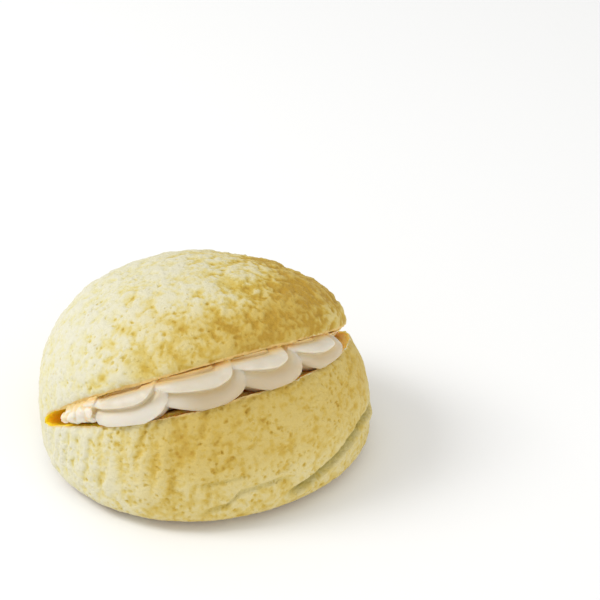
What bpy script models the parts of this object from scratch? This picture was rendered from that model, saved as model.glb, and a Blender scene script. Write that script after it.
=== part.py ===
"""Melon pan bun with a slanting slit, its lid lifted by a piped rope of whipped cream.

Two solids: "bun", the whole bread with the pocket cut into it, and "cream", the filling that
runs from the back of the pocket to the piped shells at its mouth.
Metres, +Z up. The mouth of the slit faces -Y. The bun stands on Z = 0, with the middle of its
box over the origin.
"""

from math import cos, pi, radians, sin, sqrt

import bmesh
import bpy
import numpy as np
from mathutils import Matrix, Vector

MM = 0.001

# The loaf, before it is slit
RADIUS = 53.0 * MM
CROWN = 57.4 * MM            # height over the underside
BELLY = 7.3 * MM             # height of the widest level
DOME_SQUARENESS = 2.22       # 2 is an ellipse, more is squarer
FOOT_SQUARENESS = 3.33
UNDERSIDE_CUT = 0.5 * MM     # trimmed level, so that the loaf rests on a flat face
LEAN = Vector((-1.9 * MM, -0.6 * MM))    # how far the crown leans over
LEAN_POWER = 1.5
# Swellings of the baked dough: how many round the loaf, their share of the radius, the
# direction one of them faces, and whether they fade out below the belly
SWELLINGS = (
    (1, 0.018, radians(142), True),
    (2, 0.027, radians(-42), True),
    (3, 0.025, radians(-24), False),
)
SWELL_START = 5.3 * MM
SWELL_FULL = 31.8 * MM
LOAF_DETAIL = 5              # icosphere subdivisions

# The slit: a cut that climbs from its inner end towards the mouth
POCKET_END = 5.3 * MM        # Y of the inner end
END_ROUNDING = 10.6 * MM
HINGE_Y = 4.2 * MM
HINGE_HEIGHT = 17.0 * MM
CUT_SLOPE = 0.70
SIDE_RISE = 4.5 * MM         # the cut lies higher at both sides of the loaf
SIDE_TILT = 1.9 * MM         # and higher still at +X
SIDE_TWIST = 1.3 * MM
CUT_WAVE = 0.4 * MM
CUT_WAVE_LENGTH = 64.0 * MM
HALF_OPENING = 4.6 * MM      # half the height of the pocket just inside its end
OPENING_SLOPE = 0.047        # the pocket widens by this much towards the mouth, each way
OPENING_SKEW = -1.5          # per metre: the mouth gapes wider towards -X
LEFT_CORNER = 54.7 * MM      # reach of the slit at -X
LEFT_BLUNTNESS = 5.2         # how suddenly it closes there
RIGHT_CORNER = 51.2 * MM
RIGHT_BLUNTNESS = 1.8
CORNER_POWER = 0.6
LEDGE = 2.9 * MM             # the lower lip is pressed down by the cream
LEDGE_DEPTH = 6.4 * MM
THINNEST_CUT = 0.35 * MM     # half the height of the cut at its very corners
THINNEST_SPACE = 0.05 * MM   # the same for the space that the cream has to itself
CUT_STATIONS = 37
CUT_ROWS = 12                # from the rounded end out through the mouth
CUT_REACH = (1.1 * RADIUS, 1.15 * RADIUS)     # half length and depth of the cutter

# The lid, above the cut
LID_LIFT = 7.0 * MM
LIFT_BACK_Y = 44.5 * MM      # behind this the loaf keeps its shape
LIFT_LENGTH = 63.6 * MM
LIFT_BLEND = 10.6 * MM       # height over which the lift takes hold round the cut
LIFT_FULL = 16.0 * MM        # from here up it is whole, and at the underside there is none

# The mouth, where the pocket comes out through the skin
MOUTH_STATIONS = 160
MOUTH_MARGIN = radians(6)
MOUTH_STEP = 1.5 * MM
LIP_SEARCH_STEPS = 30

# The filling inside the pocket
SHELL_GAP = 0.35 * MM        # between the cream and the bread
CORE_GAP = 0.6 * MM
CORE_START = radians(187)    # azimuths of the filling's two ends along the mouth
CORE_STOP = radians(356)
CORE_SECTIONS = 30
CORE_ROWS = 5
CORE_ROW_CROWDING = 1.4      # the rows stand closer together at the back
CORE_INSET = 4.0 * MM        # from the lips back to the core's face
CORE_BACK = 1.6 * MM         # from the end of the pocket to the core
CORE_BACK_SHARE = 0.86       # the back is this much narrower than the face
CORE_FACE = (0.08, 0.92)     # top and foot of the face, as shares of the mouth's height
END_BULGE = 3.4 * MM         # the torn end at -X stands out this much further
END_BULGE_LENGTH = 13.0 * MM

# The piped shells. Each is a star-nozzle bead that runs towards +X just under the lid's lip
# and curls up into it at the head, over the tail of the next. For each: the centre of its
# curl, along the mouth from the middle of its front; its scale; the length of its tail; how
# far the curl is drawn out; and how far the nozzle was turned.
SHELLS = (
    (-39.0 * MM, 1.04, 14.0 * MM, 1.10, radians(-14)),
    (-15.0 * MM, 0.97, 18.0 * MM, 1.20, radians(-6)),
    (5.0 * MM, 0.96, 13.0 * MM, 1.20, radians(-12)),
    (23.5 * MM, 0.80, 9.5 * MM, 1.90, radians(-10)),
)
SPINE_DROP = 1.2 * MM        # from the upper lip down to the shells' spine
STAR_RADIUS = 8.0 * MM
STAR_CENTRE = (6.4 * MM, -4.6 * MM)      # below the spine, and out of the mouth
STAR_POINTS = 6
STAR_FURROW = 0.17           # depth of the furrows, as a share of the radius
POINTS_PER_FLUTE = 3
FLAT_TOP = 0.15 * MM         # the star is cut off just below the spine
TAIL_OVERRUN = 1.1
SMALLEST_TAIL = 0.68
TAIL_SINK = 2.6 * MM
TAIL_STATIONS = 6
CURL_STATIONS = 8
CURL_TURN = radians(98)
CURL_CLOSING = radians(32)   # from here on the lower flutes close up to the tip
TIP_SHARE = 0.25
TIP_SINK = 3.0 * MM          # the tip turns back into the mouth

CRUST_COLOUR = (0.66, 0.50, 0.20, 1.0)
CRUST_ROUGHNESS = 0.7
CREAM_COLOUR = (0.86, 0.80, 0.66, 1.0)
CREAM_ROUGHNESS = 0.35


def ease(t):
    """0 up to t = 0, 1 from t = 1, smooth between."""
    t = np.clip(t, 0.0, 1.0)
    return t * t * (3.0 - 2.0 * t)


# ---------------------------------------------------------------- the loaf

def swelling(azimuth, height):
    """Factor on the loaf's radius in a direction and at a height."""
    upper = ease((height - SWELL_START) / (SWELL_FULL - SWELL_START))
    factor = 1.0
    for waves, share, facing, upper_only in SWELLINGS:
        weight = upper if upper_only else 1.0
        factor = factor + share * np.cos(waves * (azimuth - facing)) * weight
    return factor


def climb(height):
    """Share of the way from the belly to the crown."""
    return np.clip((height - BELLY) / (CROWN - BELLY), 0.0, 1.0)


def lean(height):
    return LEAN * float(climb(height) ** LEAN_POWER)


def skin_distance(x, y, height):
    """How far a point at a height over the belly lies inside the unslit loaf's skin."""
    shift = lean(height)
    x -= shift.x
    y -= shift.y
    reach = (1.0 - climb(height) ** DOME_SQUARENESS) ** (1.0 / DOME_SQUARENESS)
    return RADIUS * reach * swelling(np.arctan2(y, x), height) - np.hypot(x, y)


def lid_lift(y):
    return LID_LIFT * ease((LIFT_BACK_Y - y) / LIFT_LENGTH)


def loaf_point(direction):
    """Skin point of the loaf, its lid lifted, for a direction on the unit sphere."""
    if direction.z > 0.0:
        power = 2.0 / DOME_SQUARENESS
        height = BELLY + (CROWN - BELLY) * direction.z ** power
    else:
        power = 2.0 / FOOT_SQUARENESS
        height = BELLY * (1.0 - abs(direction.z) ** power)
    reach = sqrt(direction.x ** 2 + direction.y ** 2) ** power
    azimuth = np.arctan2(direction.y, direction.x)
    radius = RADIUS * reach * swelling(azimuth, height)
    shift = lean(height)
    x = radius * cos(azimuth) + shift.x
    y = radius * sin(azimuth) + shift.y
    above_cut = height - cut_middle(x, y)
    hold = ease(above_cut / LIFT_BLEND + 0.5) * ease(height / LIFT_FULL)
    height += lid_lift(y) * hold
    return Vector((x, y, max(height, UNDERSIDE_CUT)))


# ---------------------------------------------------------------- the slit

def cut_middle(x, y):
    """Height of the knife's cut."""
    side = x / RADIUS
    rise = SIDE_RISE * side ** 2 + SIDE_TILT * side + SIDE_TWIST * side ** 3
    wave = CUT_WAVE * cos(2.0 * pi * x / CUT_WAVE_LENGTH)
    return HINGE_HEIGHT + rise + wave + CUT_SLOPE * (HINGE_Y - y)


def corner_taper(x):
    """How far the pocket is open along the slit: about 1 in the middle, 0 at its corners."""
    if x < 0.0:
        closed = (-x / LEFT_CORNER) ** LEFT_BLUNTNESS
    else:
        closed = (x / RIGHT_CORNER) ** RIGHT_BLUNTNESS
    return max(1.0 - closed, 0.0) ** CORNER_POWER * (1.0 + OPENING_SKEW * x)


def half_opening(x, y):
    inward = np.clip((POCKET_END - y) / END_ROUNDING, 0.0, 1.0)
    rounded = HALF_OPENING * sqrt(1.0 - (1.0 - inward) ** 2)
    widening = OPENING_SLOPE * max(HINGE_Y - y, 0.0)
    return max(corner_taper(x) * (rounded + widening), THINNEST_CUT)


def pocket_floor(x, y):
    middle = cut_middle(x, y)
    to_skin = max(skin_distance(x, y, middle), 0.0)
    ledge = LEDGE * np.exp(-to_skin / LEDGE_DEPTH) * corner_taper(x)
    return middle - half_opening(x, y) - ledge


def pocket_ceiling(x, y):
    return cut_middle(x, y) + half_opening(x, y)


def lip(azimuth, surface, lift):
    """Point where a pocket surface, seen from the loaf's axis, comes out through the skin."""
    inside = 0.0
    outside = 1.2 * RADIUS
    for _ in range(LIP_SEARCH_STEPS):
        radius = 0.5 * (inside + outside)
        x = radius * cos(azimuth)
        y = radius * sin(azimuth)
        height = surface(x, y)
        if skin_distance(x, y, height - lift) > 0.0:
            inside = radius
        else:
            outside = radius
    return Vector((x, y, height))


# ---------------------------------------------------------------- meshes

def add_object(name, verts, faces, material=None, sharp_angle=radians(35)):
    mesh = bpy.data.meshes.new(name)
    mesh.from_pydata([tuple(vert) for vert in verts], [], faces)
    bm = bmesh.new()
    bm.from_mesh(mesh)
    bmesh.ops.recalc_face_normals(bm, faces=bm.faces)
    bm.to_mesh(mesh)
    bm.free()
    mesh.shade_smooth()
    mesh.set_sharp_from_angle(angle=sharp_angle)
    if material:
        mesh.materials.append(material)
    obj = bpy.data.objects.new(name, mesh)
    bpy.context.scene.collection.objects.link(obj)
    return obj


def add_tool(name, verts, faces):
    """A solid that only shapes another."""
    tool = add_object(name, verts, faces)
    tool.hide_render = True
    tool.display_type = "WIRE"
    return tool


def combine(obj, operation, tool):
    modifier = obj.modifiers.new(tool.name, "BOOLEAN")
    modifier.operation = operation
    modifier.solver = "EXACT"
    modifier.object = tool


def closed_loft(rings):
    """Vertices and faces of a tube through equal rings of points, capped at both ends."""
    size = len(rings[0])
    verts = [point for ring in rings for point in ring]
    faces = [tuple(range(size))]
    for first in range(0, size * (len(rings) - 1), size):
        for k in range(size):
            after = (k + 1) % size
            faces.append((first + k, first + size + k, first + size + after, first + after))
    faces.append(tuple(range(len(verts) - 1, len(verts) - size - 1, -1)))
    return verts, faces


def make_material(name, colour, roughness):
    material = bpy.data.materials.new(name)
    material.use_nodes = True
    shader = material.node_tree.nodes["Principled BSDF"]
    shader.inputs["Base Color"].default_value = colour
    shader.inputs["Roughness"].default_value = roughness
    shader.inputs["Metallic"].default_value = 0.0
    material.diffuse_color = colour
    return material


def make_loaf(material):
    bm = bmesh.new()
    bmesh.ops.create_icosphere(bm, subdivisions=LOAF_DETAIL, radius=1.0)
    bm.verts.index_update()
    verts = [loaf_point(vert.co.normalized()) for vert in bm.verts]
    faces = [tuple(vert.index for vert in face.verts) for face in bm.faces]
    bm.free()
    return add_object("bun", verts, faces, material)


def pocket_space(name, gap):
    """The pocket as a solid that runs out through the mouth, a gap smaller all round."""
    turns = [radians(18 * k) for k in range(1, 6)]
    ys = [POCKET_END - gap - END_ROUNDING * (1.0 - cos(turn)) for turn in turns]
    ys += list(np.linspace(ys[-1], -CUT_REACH[1], CUT_ROWS + 1))[1:]
    rings = []
    for x in np.linspace(-CUT_REACH[0], CUT_REACH[0], CUT_STATIONS):
        end_y = POCKET_END - gap
        middles = [cut_middle(x, y) for y in ys]
        low = [min(pocket_floor(x, y) + gap, z - THINNEST_SPACE) for y, z in zip(ys, middles)]
        high = [max(pocket_ceiling(x, y) - gap, z + THINNEST_SPACE) for y, z in zip(ys, middles)]
        ring = [Vector((x, end_y, cut_middle(x, end_y)))]
        ring += [Vector((x, y, z)) for y, z in zip(ys, low)]
        ring += [Vector((x, y, z)) for y, z in reversed(list(zip(ys, high)))]
        rings.append(ring)
    return add_tool(name, *closed_loft(rings))


# ---------------------------------------------------------------- the mouth

class Mouth:
    """The open mouth as a curved strip, measured along it, up it and out of it."""

    def __init__(self):
        start = CORE_START - MOUTH_MARGIN
        stop = CORE_STOP + MOUTH_MARGIN
        self.azimuths = np.linspace(start, stop, MOUTH_STATIONS)
        self.low = [lip(a, pocket_floor, 0.0) for a in self.azimuths]
        self.high = [lip(a, pocket_ceiling, LID_LIFT) for a in self.azimuths]
        middles = [(low + high) / 2 for low, high in zip(self.low, self.high)]
        steps = [(b - a).length for a, b in zip(middles, middles[1:])]
        self.along = np.concatenate([[0.0], np.cumsum(steps)])
        self.along -= np.interp(1.5 * pi, self.azimuths, self.along)

    def at(self, along):
        """Lower and upper lip at a length along the mouth."""
        low = Vector([np.interp(along, self.along, [p[k] for p in self.low]) for k in range(3)])
        high = Vector([np.interp(along, self.along, [p[k] for p in self.high]) for k in range(3)])
        return low, high

    def point(self, along, down, out):
        """Point at a distance down from the upper lip and out of the mouth."""
        low, high = self.at(along)
        ahead = sum(self.at(along + MOUTH_STEP), Vector((0.0, 0.0, 0.0)))
        behind = sum(self.at(along - MOUTH_STEP), Vector((0.0, 0.0, 0.0)))
        upward = (high - low).normalized()
        outward = (ahead - behind).cross(upward).normalized()
        return high - upward * down + outward * out


# ---------------------------------------------------------------- the cream

def cream_core(mouth, material):
    """The filling in the pocket, up to a plain face behind the piped shells."""
    start = np.interp(CORE_START, mouth.azimuths, mouth.along)
    stop = np.interp(CORE_STOP, mouth.azimuths, mouth.along)
    rings = []
    for along in np.linspace(start, stop, CORE_SECTIONS):
        low, high = mouth.at(along)
        height = (high - low).length
        bulge = END_BULGE * np.exp(-((along - start) / END_BULGE_LENGTH) ** 2)
        top = mouth.point(along, CORE_FACE[0] * height, bulge - CORE_INSET)
        foot = mouth.point(along, CORE_FACE[1] * height, bulge - CORE_INSET)
        inner = Vector((CORE_BACK_SHARE * foot.x, POCKET_END - CORE_BACK, 0.0))
        shares = [(k / CORE_ROWS) ** CORE_ROW_CROWDING for k in range(CORE_ROWS + 1)]
        floor = [inner.lerp(foot, share) for share in shares]
        ceiling = [inner.lerp(top, share) for share in reversed(shares)]
        ring = [Vector((p.x, p.y, pocket_floor(p.x, p.y) + CORE_GAP)) for p in floor]
        ring += [Vector((p.x, p.y, pocket_ceiling(p.x, p.y) - CORE_GAP)) for p in ceiling]
        rings.append(ring)
    return add_object("cream", *closed_loft(rings), material)


def star_section(turn):
    """Outline of the nozzle's star, as distances below the spine and out of the mouth."""
    count = STAR_POINTS * POINTS_PER_FLUTE
    outline = []
    for k in range(count):
        angle = 2.0 * pi * k / count
        radius = STAR_RADIUS * (1.0 - STAR_FURROW * abs(sin(0.5 * STAR_POINTS * angle)))
        below = STAR_CENTRE[0] + radius * sin(angle + turn)
        out = STAR_CENTRE[1] + radius * cos(angle + turn)
        outline.append((max(below, FLAT_TOP), out))
    return outline


def piped_shell(mouth, name, curl, scale, tail, draw, nozzle_turn):
    """One shell: the star grows along its tail, then turns up about the end of its spine."""
    outline = [(below * scale, out * scale) for below, out in star_section(nozzle_turn)]
    rings = []
    for k in range(TAIL_STATIONS):
        share = cos(0.5 * pi * k / TAIL_STATIONS)
        size = SMALLEST_TAIL + (1.0 - SMALLEST_TAIL) * sqrt(1.0 - share ** 2)
        along = curl - TAIL_OVERRUN * tail * share
        rings.append([
            mouth.point(along, SPINE_DROP + below * size, out * size - TAIL_SINK * share ** 2)
            for below, out in outline])
    middle = STAR_CENTRE[0] * scale
    for k in range(CURL_STATIONS + 1):
        turn = CURL_TURN * k / CURL_STATIONS
        closed = ease((turn - CURL_CLOSING) / (CURL_TURN - CURL_CLOSING))
        closing = 1.0 - (1.0 - TIP_SHARE) * closed
        ring = []
        for below, out in outline:
            if below > middle:
                below = middle + (below - middle) * closing
            along = curl + draw * below * sin(turn)
            rise = SPINE_DROP + below * cos(turn)
            ring.append(mouth.point(along, rise, out - TIP_SINK * closed ** 2))
        rings.append(ring)
    return add_tool(name, *closed_loft(rings))


def make_cream(material):
    mouth = Mouth()
    cream = cream_core(mouth, material)
    for k, shell in enumerate(SHELLS):
        combine(cream, "UNION", piped_shell(mouth, f"shell_{k + 1}", *shell))
    combine(cream, "INTERSECT", pocket_space("pocket_clearance", SHELL_GAP))
    return cream


def main():
    for obj in list(bpy.data.objects):
        bpy.data.objects.remove(obj, do_unlink=True)
    bun = make_loaf(make_material("crust", CRUST_COLOUR, CRUST_ROUGHNESS))
    corners = np.array([vert.co for vert in bun.data.vertices])
    middle = (corners.min(axis=0) + corners.max(axis=0)) / 2
    combine(bun, "DIFFERENCE", pocket_space("pocket", 0.0))
    make_cream(make_material("whipped_cream", CREAM_COLOUR, CREAM_ROUGHNESS))
    to_origin = Matrix.Translation((-middle[0], -middle[1], -UNDERSIDE_CUT))
    for obj in bpy.data.objects:
        obj.data.transform(to_origin)


main()
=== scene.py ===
"""The looks of a melon pan bun that is slit open and filled with piped whipped cream.

The bread and the cream have the forms of their CAD solids, worked out again from the same
sizes on much finer meshes, so that pits, lumps, creases and pores are real geometry.
Metres, +Z up, in the CAD's frame: the bun stands on Z = 0 and the mouth faces -Y.
"""

from math import cos, pi, radians, sin

import bmesh
import bpy
import numpy as np
from mathutils import Matrix, Vector
from mathutils.kdtree import KDTree


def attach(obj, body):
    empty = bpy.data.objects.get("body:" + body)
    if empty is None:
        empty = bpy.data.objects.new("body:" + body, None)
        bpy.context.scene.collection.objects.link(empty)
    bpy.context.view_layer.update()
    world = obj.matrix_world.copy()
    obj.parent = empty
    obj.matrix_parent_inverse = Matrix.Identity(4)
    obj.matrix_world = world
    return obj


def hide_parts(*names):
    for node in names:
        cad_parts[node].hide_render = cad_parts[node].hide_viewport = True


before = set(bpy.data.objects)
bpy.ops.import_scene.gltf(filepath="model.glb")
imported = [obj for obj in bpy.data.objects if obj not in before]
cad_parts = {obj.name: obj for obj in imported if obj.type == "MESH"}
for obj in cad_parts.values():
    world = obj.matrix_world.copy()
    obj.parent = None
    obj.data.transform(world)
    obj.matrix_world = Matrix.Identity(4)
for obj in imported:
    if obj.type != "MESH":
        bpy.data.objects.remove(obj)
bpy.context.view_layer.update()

MM = 0.001
UP = np.array((0.0, 0.0, 1.0))

# ---------------------------------------------------------------- sizes shared with the CAD

# The loaf, before it is slit
RADIUS = 53.0 * MM
CROWN = 57.4 * MM
BELLY = 7.3 * MM
DOME_SQUARENESS = 2.22
FOOT_SQUARENESS = 3.33
UNDERSIDE_CUT = 0.5 * MM
LEAN = (-1.9 * MM, -0.6 * MM)
LEAN_POWER = 1.5
# how many swellings round the loaf, their share of the radius, the way one faces, and
# whether they fade out below the belly
SWELLINGS = (
    (1, 0.018, radians(142), True),
    (2, 0.027, radians(-42), True),
    (3, 0.025, radians(-24), False),
)
SWELL_START = 5.3 * MM
SWELL_FULL = 31.8 * MM

# The slit
POCKET_END = 5.3 * MM
END_ROUNDING = 10.6 * MM
HINGE_Y = 4.2 * MM
HINGE_HEIGHT = 17.0 * MM
CUT_SLOPE = 0.70
SIDE_RISE = 4.5 * MM
SIDE_TILT = 1.9 * MM
SIDE_TWIST = 1.3 * MM
CUT_WAVE = 0.4 * MM
CUT_WAVE_LENGTH = 64.0 * MM
HALF_OPENING = 4.6 * MM
OPENING_SLOPE = 0.047
OPENING_SKEW = -1.5
LEFT_CORNER = 54.7 * MM
LEFT_BLUNTNESS = 5.2
RIGHT_CORNER = 51.2 * MM
RIGHT_BLUNTNESS = 1.8
CORNER_POWER = 0.6
LEDGE = 1.6 * MM
LEDGE_DEPTH = 1.1 * MM
THINNEST_CUT = 0.35 * MM
THINNEST_SPACE = 0.05 * MM
CUT_REACH = (1.1 * RADIUS, 1.15 * RADIUS)

# The lid
LID_LIFT = 7.0 * MM
LIFT_BACK_Y = 44.5 * MM
LIFT_LENGTH = 63.6 * MM
LIFT_BLEND = 10.6 * MM
LIFT_FULL = 16.0 * MM

# The filling
MOUTH_MARGIN = radians(6)
MOUTH_STEP = 1.5 * MM
LIP_SEARCH_STEPS = 30
CORE_GAP = 0.6 * MM
CORE_START = radians(189.5)
CORE_STOP = radians(356)
CORE_ROW_CROWDING = 1.4
CORE_INSET = (4.0 * MM, 8.5 * MM)
CORE_BACK = 1.6 * MM
CORE_BACK_SHARE = 0.86
CORE_FACE = (0.08, 0.92)
END_BULGE = 3.4 * MM
END_BULGE_LENGTH = 13.0 * MM

# The piped shells: centre of the curl along the mouth, scale, length of the tail, how far
# the curl is drawn out, and how far the nozzle was turned
SHELLS = (
    (-39.0 * MM, 1.06, 17.0 * MM, 1.10, radians(-14)),
    (-15.0 * MM, 1.01, 18.0 * MM, 1.20, radians(-6)),
    (5.0 * MM, 1.00, 13.0 * MM, 1.20, radians(-12)),
    (23.5 * MM, 0.83, 9.5 * MM, 1.90, radians(-10)),
)
SPINE_DROP = 0.8 * MM
STAR_RADIUS = 8.0 * MM
STAR_CENTRE = (6.4 * MM, -5.2 * MM)
STAR_POINTS = 6
STAR_FURROW = 0.32
FLAT_TOP = 0.15 * MM
TAIL_OVERRUN = 1.1
SMALLEST_TAIL = 0.46
TAIL_GROWTH = 1.6
TAIL_SINK = 2.6 * MM
CURL_TURN = radians(94)
CURL_CLOSING = radians(32)
TIP_SHARE = 0.25
TIP_SINK = 5.5 * MM

# ---------------------------------------------------------------- the crust's relief

LUMPY_SIDE = radians(-26)    # the lid is lumpiest this way
GOLDEN_SIDE = radians(-50)   # and most golden this way: partly browning, partly painted shade turned from the key light, with painted light on the side facing it
PALEST = -27.0 * MM          # how far that way the crust is palest, and most golden
MOST_GOLDEN = 33.0 * MM
LID_BROWNING = 1.08
TOP_PAINTED_LIGHT = 0.50          # less golden on the lid's top: painted light on its upward faces
TOP_START = 58.5 * MM
TOP_FADE = 4.0 * MM
SIDE_BROWNING_AND_SHADE = (0.98, 1.28)     # how golden the bread below the slit is, low down and higher up: partly browning, partly painted shade on its steep sides
MOST_BROWNING_AND_SHADE = (0.63, 0.85)     # and the most it is, likewise partly painted shade
BACK_BROWNING = 0.58         # the least that the back is golden
BACK_START = 4.0 * MM
BACK_FADE = 26.0 * MM
BACK_SIDE = (0.36, 0.76, -0.54)  # the way from which the bread wasn't turned to the heat
EDGE_PAINTED_LIGHT = 0.38         # and less golden at its far edge: painted light where light rims it
EDGE_START = 28.0 * MM
EDGE_FADE = 14.0 * MM
FAR_PAINTED_LIGHT = 0.03          # less golden again on its far side: painted light there
FAR_START = 24.0 * MM
FAR_FADE = 18.0 * MM
LIP_ROUNDING = 0.7 * MM
LIP_REACH = 2.4 * MM
LIP_END = 5.0 * MM
LIP_BAND_REACH = 1.1 * MM          # orange band along the lid's lip
LIP_WAVE = 0.5 * MM
LIP_WAVE_LENGTH = 13.0 * MM
# Creases where the crust rolls under: their route as (azimuth in degrees, height in mm),
# half width, depth, and how far the dough below bulges
CREASES = (
    (((-88, 7.5), (-78, 9.4), (-60, 13.7), (-45, 16.6), (-26, 14.5)), 0.9 * MM, 2.4 * MM, 1.0 * MM),
    (((-120, 7.0), (-108, 9.5), (-103, 13.6), (-90, 14.6), (-80, 13.0)), 0.7 * MM, 0.9 * MM, 0.3 * MM),
    (((-122, 16.5), (-112, 17.3), (-98, 19.0)), 0.6 * MM, 0.6 * MM, 0.1 * MM),
)
# Dents pressed into the crust: their middle in mm, radius in mm, and depth
DENTS = (
    ((-33, -26, 50), 7.0, 1.7 * MM),
    ((-36, -22, 51), 3.0, 0.5 * MM),
    ((-42, -18, 44), 3.2, 0.7 * MM),
    ((9, -31, 56), 2.4, 0.9 * MM),
    ((11, -35, 50.5), 2.2, 0.7 * MM),
    ((3, -13, 63), 4.5, 0.9 * MM),
)

# ---------------------------------------------------------------- sizes of the fine meshes

SKIN_CELLS = 200             # along each edge of the cube that is blown up to the loaf
DOME_SHARE = 0.72            # of the cells' way from the crown to the underside's middle
CUT_STATIONS = 260
CUT_ROWS = 110
END_ROWS = 12
BREAD_TRIANGLES = 190000     # kept where the relief needs them
MOUTH_STATIONS = 240
CORE_SECTIONS = 150
CORE_ROWS = 26
FLUTE_POINTS = 20
FURROW_SHARE = 0.12          # a furrow is deepest this far from the ridge above to that below
LOBE_ROUNDNESS = 2.2         # and the lobe below it bulges
CREAM_GRIP = 0.4 * MM        # the cream is pressed this far into the crumb
CREAM_GRAIN = 0.32 * MM
CREAM_TRIANGLES = 180000
TUCKED_SHARE = 0.55          # of the mouth's height, over which painted shade under the lid, in the shaded crumb's orange, darkens the cream
TORN_LENGTH = 14.0 * MM      # of the uneven lump where the piping was begun
TORN_FADE = 6.0 * MM
TORN_STATIONS = 40
TORN_POINTS = 48
TAIL_STATIONS = 34
TAIL_ROUNDED = 5             # stations over which a tail's start is rounded
TAIL_ROUNDING = 0.4
CURL_STATIONS = 40


def ease(t):
    """0 up to t = 0, 1 from t = 1, smooth between."""
    t = np.clip(t, 0.0, 1.0)
    return t * t * (3.0 - 2.0 * t)


# ---------------------------------------------------------------- random fields

class Field:
    """Random fields over space, the same on every run. Lengths are in metres."""

    def __init__(self, seed):
        rng = np.random.default_rng(seed)
        self.order = rng.permutation(256)
        slopes = rng.normal(size=(256, 3))
        self.slopes = slopes / np.linalg.norm(slopes, axis=1)[:, None]
        self.places = rng.random((256, 3))
        self.values = rng.random(256)

    def pick(self, cell):
        """A number from 0 to 255 for each cell of the grid."""
        order = self.order
        first = order[cell[:, 0] & 255]
        second = order[(first + cell[:, 1]) & 255]
        return order[(second + cell[:, 2]) & 255]

    def smooth(self, points, length):
        """Gentle hills and hollows of about a length across, between about -1 and 1."""
        scaled = points / length
        base = np.floor(scaled).astype(int)
        inside = scaled - base
        blend = inside ** 3 * (inside * (inside * 6.0 - 15.0) + 10.0)
        total = np.zeros(len(points))
        for corner in np.ndindex(2, 2, 2):
            corner = np.array(corner)
            slope = self.slopes[self.pick(base + corner)]
            weight = np.prod(np.where(corner == 1, blend, 1.0 - blend), axis=1)
            total += weight * np.sum(slope * (inside - corner), axis=1)
        return 1.6 * total

    def rough(self, points, length, layers=3, gain=0.5):
        """Hills with smaller hills on them."""
        total = np.zeros(len(points))
        for k in range(layers):
            total += gain ** k * self.smooth(points + 7.3 * k * length, length / 2.0 ** k)
        return total

    def bending(self, points, length):
        """A random shift of each point, between about -1 and 1 each way."""
        return np.stack([self.smooth(points + k * length, length) for k in (11, 23, 37)], axis=1)

    def pillows(self, points, length, crease=0.22):
        """Rounded lumps parted by soft creases: 0 in the creases, near 1 on the lumps."""
        hills = self.smooth(points, length) ** 2
        return hills / (hills + crease ** 2)

    def dots(self, points, length, share, smallest=0.5):
        """Round dents at scattered places: 1 in the middle of each, 0 between them.

        A share of the grid's cells hold one, between the smallest and a full cell's size.
        """
        scaled = points / length
        base = np.floor(scaled).astype(int)
        deepest = np.zeros(len(points))
        for step in np.ndindex(3, 3, 3):
            cell = base + np.array(step) - 1
            pick = self.pick(cell)
            away = np.linalg.norm(cell + self.places[pick] - scaled, axis=1)
            luck = self.values[pick]
            radius = 0.5 * (smallest + (1.0 - smallest) * luck / share)
            depth = np.where(luck < share, 1.0 - away / radius, 0.0)
            deepest = np.maximum(deepest, depth)
        return deepest

    def wrinkles(self, points, length, width):
        """Long wavy lines: 1 on a line, 0 away from it."""
        return np.exp(-(self.smooth(points, length) * length / width) ** 2)


# ---------------------------------------------------------------- the loaf and the slit

def swelling(azimuth, height):
    upper = ease((height - SWELL_START) / (SWELL_FULL - SWELL_START))
    factor = 1.0
    for waves, share, facing, upper_only in SWELLINGS:
        weight = upper if upper_only else 1.0
        factor = factor + share * np.cos(waves * (azimuth - facing)) * weight
    return factor


def climb(height):
    return np.clip((height - BELLY) / (CROWN - BELLY), 0.0, 1.0)


def skin_distance(x, y, height):
    """How far a point over the belly lies inside the unslit loaf's skin."""
    shift = climb(height) ** LEAN_POWER
    x = x - LEAN[0] * shift
    y = y - LEAN[1] * shift
    reach = (1.0 - climb(height) ** DOME_SQUARENESS) ** (1.0 / DOME_SQUARENESS)
    return RADIUS * reach * swelling(np.arctan2(y, x), height) - np.hypot(x, y)


def lid_lift(y):
    return LID_LIFT * ease((LIFT_BACK_Y - y) / LIFT_LENGTH)


def cut_middle(x, y):
    side = x / RADIUS
    rise = SIDE_RISE * side ** 2 + SIDE_TILT * side + SIDE_TWIST * side ** 3
    wave = CUT_WAVE * np.cos(2.0 * pi * x / CUT_WAVE_LENGTH)
    return HINGE_HEIGHT + rise + wave + CUT_SLOPE * (HINGE_Y - y)


def corner_taper(x):
    left = np.clip(-x / LEFT_CORNER, 0.0, 1.0) ** LEFT_BLUNTNESS
    right = np.clip(x / RIGHT_CORNER, 0.0, 1.0) ** RIGHT_BLUNTNESS
    return (1.0 - left - right) ** CORNER_POWER * (1.0 + OPENING_SKEW * x)


def half_opening(x, y):
    inward = np.clip((POCKET_END - y) / END_ROUNDING, 0.0, 1.0)
    rounded = HALF_OPENING * np.sqrt(1.0 - (1.0 - inward) ** 2)
    widening = OPENING_SLOPE * np.maximum(HINGE_Y - y, 0.0)
    return np.maximum(corner_taper(x) * (rounded + widening), THINNEST_CUT)


def pocket_floor(x, y):
    middle = cut_middle(x, y)
    to_skin = np.maximum(skin_distance(x, y, middle), 0.0)
    ledge = LEDGE * np.exp(-to_skin / LEDGE_DEPTH) * corner_taper(x)
    return middle - half_opening(x, y) - ledge


def pocket_ceiling(x, y):
    return cut_middle(x, y) + half_opening(x, y)


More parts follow.
